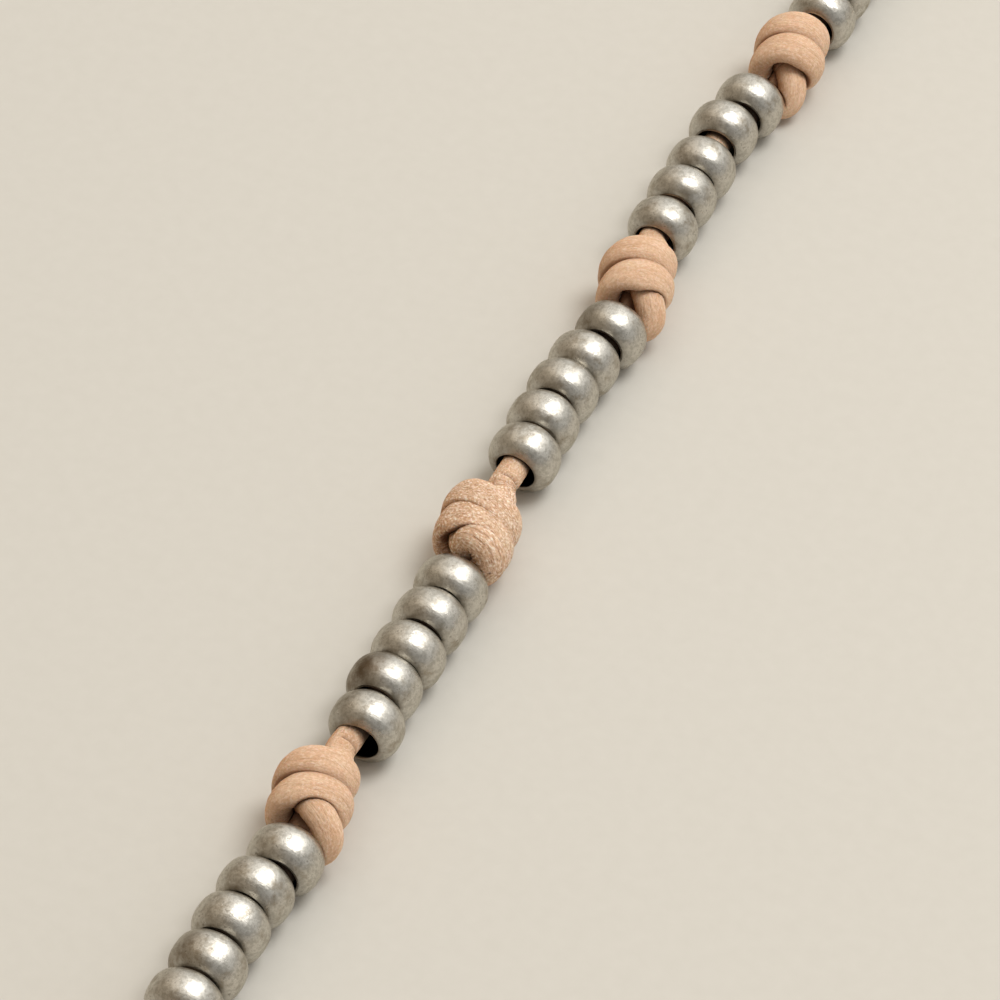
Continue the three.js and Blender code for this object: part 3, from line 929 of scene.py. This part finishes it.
def pale_leather():
    """Undyed leather: fibres along the strand, specks and folds where it is rough, and brown seams, with
    painted shade beside the seams, in crease valleys, inside the beads and on the side facing left and down.
    """
    material, n = new_material("pale_leather")
    strand = n.stored("strand", "Vector")
    pressed = n.stored("pressed", "Fac")
    crease = n.stored("crease", "Fac")
    coarse = n.stored("coarse", "Fac")
    grime = n.stored("grime", "Fac")
    nick = n.stored("nick", "Fac")
    patina = n.stored("patina", "Fac")
    mottle = n.noise(n.stretch(strand, MOTTLE_STRETCH), 1.0, 4.0, 0.6)
    fibre = n.noise(n.stretch(strand, FIBRE_STRETCH), 1.0, 6.0, 0.65)
    speck = n.noise(n.stretch(strand, SPECK_STRETCH), 1.0, 4.0, 0.65)
    fold = n.span(n.noise(n.stretch(strand, FOLD_STRETCH), 1.0, 3.0, 0.55), 0.57, 0.67)
    dark_amount = n.maths("MULTIPLY", n.span(speck, 0.51, 0.66), n.span(coarse, 0.0, 1.0, 0.12, 0.65))
    light_amount = n.maths("MULTIPLY", n.span(speck, 0.5, 0.36), n.span(coarse, 0.0, 1.0, 0.1, 0.95))
    tone = n.mix(n.span(mottle, 0.3, 0.7), LEATHER_DEEP, LEATHER_LIGHT)
    # Painted shade: browner colour on the cord's left and lower side
    side_shaded = n.mix(n.maths("MULTIPLY", patina, SIDE_SHADE_AMOUNT), tone, LEATHER_SIDE_SHADE)
    lined = n.mix(n.span(fibre, 0.45, 0.75, 0.0, FIBRE_AMOUNT), side_shaded, FIBRE_BROWN)
    darker = n.mix(dark_amount, lined, SPECK_BROWN)
    lighter = n.mix(light_amount, darker, SPECK_PALE)
    rough_fold = n.maths("MULTIPLY", fold, coarse)
    folded = n.mix(n.maths("MULTIPLY", rough_fold, FOLD_AMOUNT), lighter, FOLD_BROWN)
    # Painted shade: the crease valleys are coloured browner by their depth
    crease_shaded = n.mix(n.maths("MULTIPLY", crease, CREASE_SHADE_AMOUNT), folded, CREASE_SHADE_BROWN)
    # Dark seam lines, and painted shade where strands lie close
    seamed_and_shaded = n.mix(n.maths("MULTIPLY", pressed, SEAM_AND_SHADE_AMOUNT), crease_shaded, SEAM_AND_SHADE_BROWN)
    cut_in = n.mix(nick, seamed_and_shaded, NICK_DARK)
    # Painted shade: the cord goes dark inside the beads
    colour = n.mix(n.maths("MULTIPLY", grime, IN_BEAD_SHADE_AMOUNT), cut_in, IN_BEAD_SHADE)
    grain = n.maths("MULTIPLY", speck, n.span(coarse, 0.0, 1.0, -0.2, -0.9))
    rises = n.maths("MULTIPLY_ADD", fibre, 0.6, grain)
    height = n.maths("MULTIPLY_ADD", rough_fold, -0.5, rises)
    normal = n.bump(height, 0.7, LEATHER_BUMP_HEIGHT)
    rough = n.span(fibre, 0.3, 0.7, 0.62, 0.78)
    n.surface({"Base Color": colour, "Roughness": rough, "Specular IOR Level": 0.3, "Normal": normal,
               "Subsurface Weight": 0.2, "Subsurface Radius": LEATHER_GLOW,
               "Subsurface Scale": LEATHER_GLOW_SCALE})
    return material


def pale_floor():
    """Plain pale matt surface with a faint even grain."""
    material, n = new_material("pale_floor")
    place = n.add("ShaderNodeTexCoord").outputs["Object"]
    grain = n.noise(place, 900.0, 3.0, 0.5)
    colour = n.mix(grain, FLOOR_DEEP, FLOOR_LIGHT)
    n.surface({"Base Color": colour, "Roughness": 0.7, "Specular IOR Level": 0.3})
    return material


# The necklace

SILVER = aged_silver()
LEATHER = pale_leather()
JOINED_SEED = 100
LOOSE = GROUPS[FIRST_LOOSE_GROUP:LAST_LOOSE_GROUP + 1]
JOINED = [group for group in GROUPS if group not in LOOSE]


def make_beads():
    """Replaces each bead and each row of beads. Returns the place and pose of every bead."""
    threaded = []
    for i, (along, shift) in enumerate(place for group in LOOSE for place in bead_places(group)):
        pose = string_pose(along, shift, i + 1)
        piece = metal_piece(f"turned_bead_{i + 1:02d}", BEAD_PROFILE, True, [pose], [i + 1], SILVER)
        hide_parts(f"bead_{i + 1:02d}")
        threaded.append((along, pose))
    for i, group in enumerate(JOINED):
        seeds = [JOINED_SEED + BEADS_PER_GROUP * i + k for k in range(BEADS_PER_GROUP)]
        places = bead_places(group)
        poses = [string_pose(along, shift, seed) for (along, shift), seed in zip(places, seeds)]
        piece = metal_piece(f"turned_bead_row_{i + 1}", BEAD_PROFILE, True, poses, seeds, SILVER)
        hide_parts(f"bead_row_{i + 1}")
        threaded += [(along, pose) for (along, _), pose in zip(places, poses)]
    return threaded


def make_cord(threaded):
    """Replaces each stretch of cord with a tube that is tied in knots."""
    reach = CLASP_LENGTH / 2 - CLASP_SOCKET_DEPTH + CORD_END_GAP
    start = CLASP_MIDDLE - LOOP_LENGTH + reach
    end = CLASP_MIDDLE - reach
    cuts = [group[0] for group in GROUPS[FIRST_CUT_GROUP::GROUPS_PER_STRETCH]][:-1]
    starts = [start] + [cut + CORD_CUT_GAP / 2 for cut in cuts]
    ends = [cut - CORD_CUT_GAP / 2 for cut in cuts] + [end]
    for i, (low, high) in enumerate(zip(starts, ends)):
        tied = [index for index, knot in enumerate(KNOTS) if low < knot < high]
        styles = [(KNOTS[index], knot_style(index)) for index in tied]
        fineness = FINE if any(index in KNOT_STYLES for index in tied) else COARSE
        poses = [pose for along, pose in threaded if low - BEAD_PITCH < along < high + BEAD_PITCH]
        node = f"cord_stretch_{i + 1}"
        seed = CORD_SEED + SEEDS_PER_STRETCH * i
        piece = cord_piece(f"knotted_{node}", low, high, styles, fineness, poses, seed, LEATHER)
        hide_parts(node)


def make_clasp():
    """Replaces the clasp with a turned barrel."""
    pose = string_pose(CLASP_MIDDLE, 0.0, 0)
    piece = metal_piece("turned_clasp", CLASP_PROFILE, False, [pose], [CLASP_SEED], SILVER)
    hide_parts("barrel_clasp")


make_cord(make_beads())
make_clasp()


# Stage, light and camera

VIEW_AZIMUTH = math.radians(24.11)
VIEW_ELEVATION = math.radians(46.0)
VIEW_DISTANCE = 353.5
VIEW_LENS = 186.98
AIM_ALONG = 1.7
AIM_ACROSS = -1.1
SENSOR_WIDTH = 36.0
NEAREST_SEEN = 0.01
FARTHEST_SEEN = 50.0
KEY_FROM = (0.431, 0.139, 0.893)
KEY_DISTANCE = 0.6
KEY_SIZE = 0.3
KEY_POWER = 1.84
ROOM_COLOUR = (1.0, 0.99, 0.96, 1)
ROOM_LEFT_COLOUR = (1.0, 0.84, 0.64, 1)
ROOM_BRIGHT_WAY = (0.25, 0.45, 0.857)
ROOM_LEAST = 0.38
ROOM_ABOVE = 0.7
ROOM_RIGHT = 0.2
ROOM_ABOVE_EDGE = (0.42, 0.9)
ROOM_RIGHT_EDGE = (0.3, 1.0)
ROOM_COLOUR_EDGE = (-0.7, 0.2)
FLOOR_SIZE = 6.0


def turned_to_view(vector):
    """A direction given as right, away and up in the view, in the necklace's frame."""
    return Matrix.Rotation(VIEW_AZIMUTH, 3, "Z") @ Vector(vector)


def aimed(thing, place, target):
    thing.location = place
    thing.rotation_euler = (target - place).to_track_quat("-Z", "Y").to_euler()
    bpy.context.scene.collection.objects.link(thing)


def make_stage():
    half = FLOOR_SIZE / 2
    corners = [(-half, -half, 0), (half, -half, 0), (half, half, 0), (-half, half, 0)]
    mesh = bpy.data.meshes.new("floor")
    mesh.from_pydata(corners, [], [(0, 1, 2, 3)])
    mesh.materials.append(pale_floor())
    floor = bpy.data.objects.new("floor", mesh)
    bpy.context.scene.collection.objects.link(floor)


def make_room():
    """A soft room: bright above and beyond, some light from the right, and warm and dimmer elsewhere."""
    world = bpy.data.worlds.new("soft_room")
    world.use_nodes = True
    n = Nodes(world.node_tree)
    way = n.add("ShaderNodeTexCoord").outputs["Generated"]
    bright = turned_to_view(ROOM_BRIGHT_WAY).normalized()
    side = turned_to_view((1.0, 0.0, 0.0))
    upward = n.add("ShaderNodeVectorMath", {0: way, 1: bright}, operation="DOT_PRODUCT").outputs["Value"]
    rightward = n.add("ShaderNodeVectorMath", {0: way, 1: side}, operation="DOT_PRODUCT").outputs["Value"]
    above = n.span(upward, *ROOM_ABOVE_EDGE)
    lit = n.maths("MULTIPLY_ADD", above, ROOM_ABOVE, ROOM_LEAST)
    strength = n.maths("ADD", lit, n.span(rightward, *ROOM_RIGHT_EDGE, 0.0, ROOM_RIGHT))
    colour = n.mix(n.span(rightward, *ROOM_COLOUR_EDGE), ROOM_LEFT_COLOUR, ROOM_COLOUR)
    glow = n.add("ShaderNodeBackground", {"Color": colour, "Strength": strength})
    n.add("ShaderNodeOutputWorld", {"Surface": glow.outputs["Background"]})
    bpy.context.scene.world = world


def make_key(target):
    key = bpy.data.lights.new("key", "AREA")
    key.shape = "DISK"
    key.size = KEY_SIZE
    key.energy = KEY_POWER
    away = turned_to_view(KEY_FROM).normalized() * KEY_DISTANCE
    aimed(bpy.data.objects.new("key", key), target + away, target)


def make_camera(target):
    camera = bpy.data.cameras.new("camera")
    camera.lens = VIEW_LENS
    camera.sensor_width = SENSOR_WIDTH
    camera.clip_start = NEAREST_SEEN
    camera.clip_end = FARTHEST_SEEN
    flat = math.cos(VIEW_ELEVATION)
    away = turned_to_view((0.0, -flat, math.sin(VIEW_ELEVATION))) * VIEW_DISTANCE * MM
    made = bpy.data.objects.new("camera", camera)
    aimed(made, target + away, target)
    bpy.context.scene.camera = made


AIM = Vector((-LOOP_WIDTH / 2 + AIM_ACROSS, AIM_ALONG - SIDE_MIDDLE, 0.0)) * MM
make_stage()
make_room()
make_key(AIM)
make_camera(AIM)
bpy.context.scene.view_settings.view_transform = "Standard"
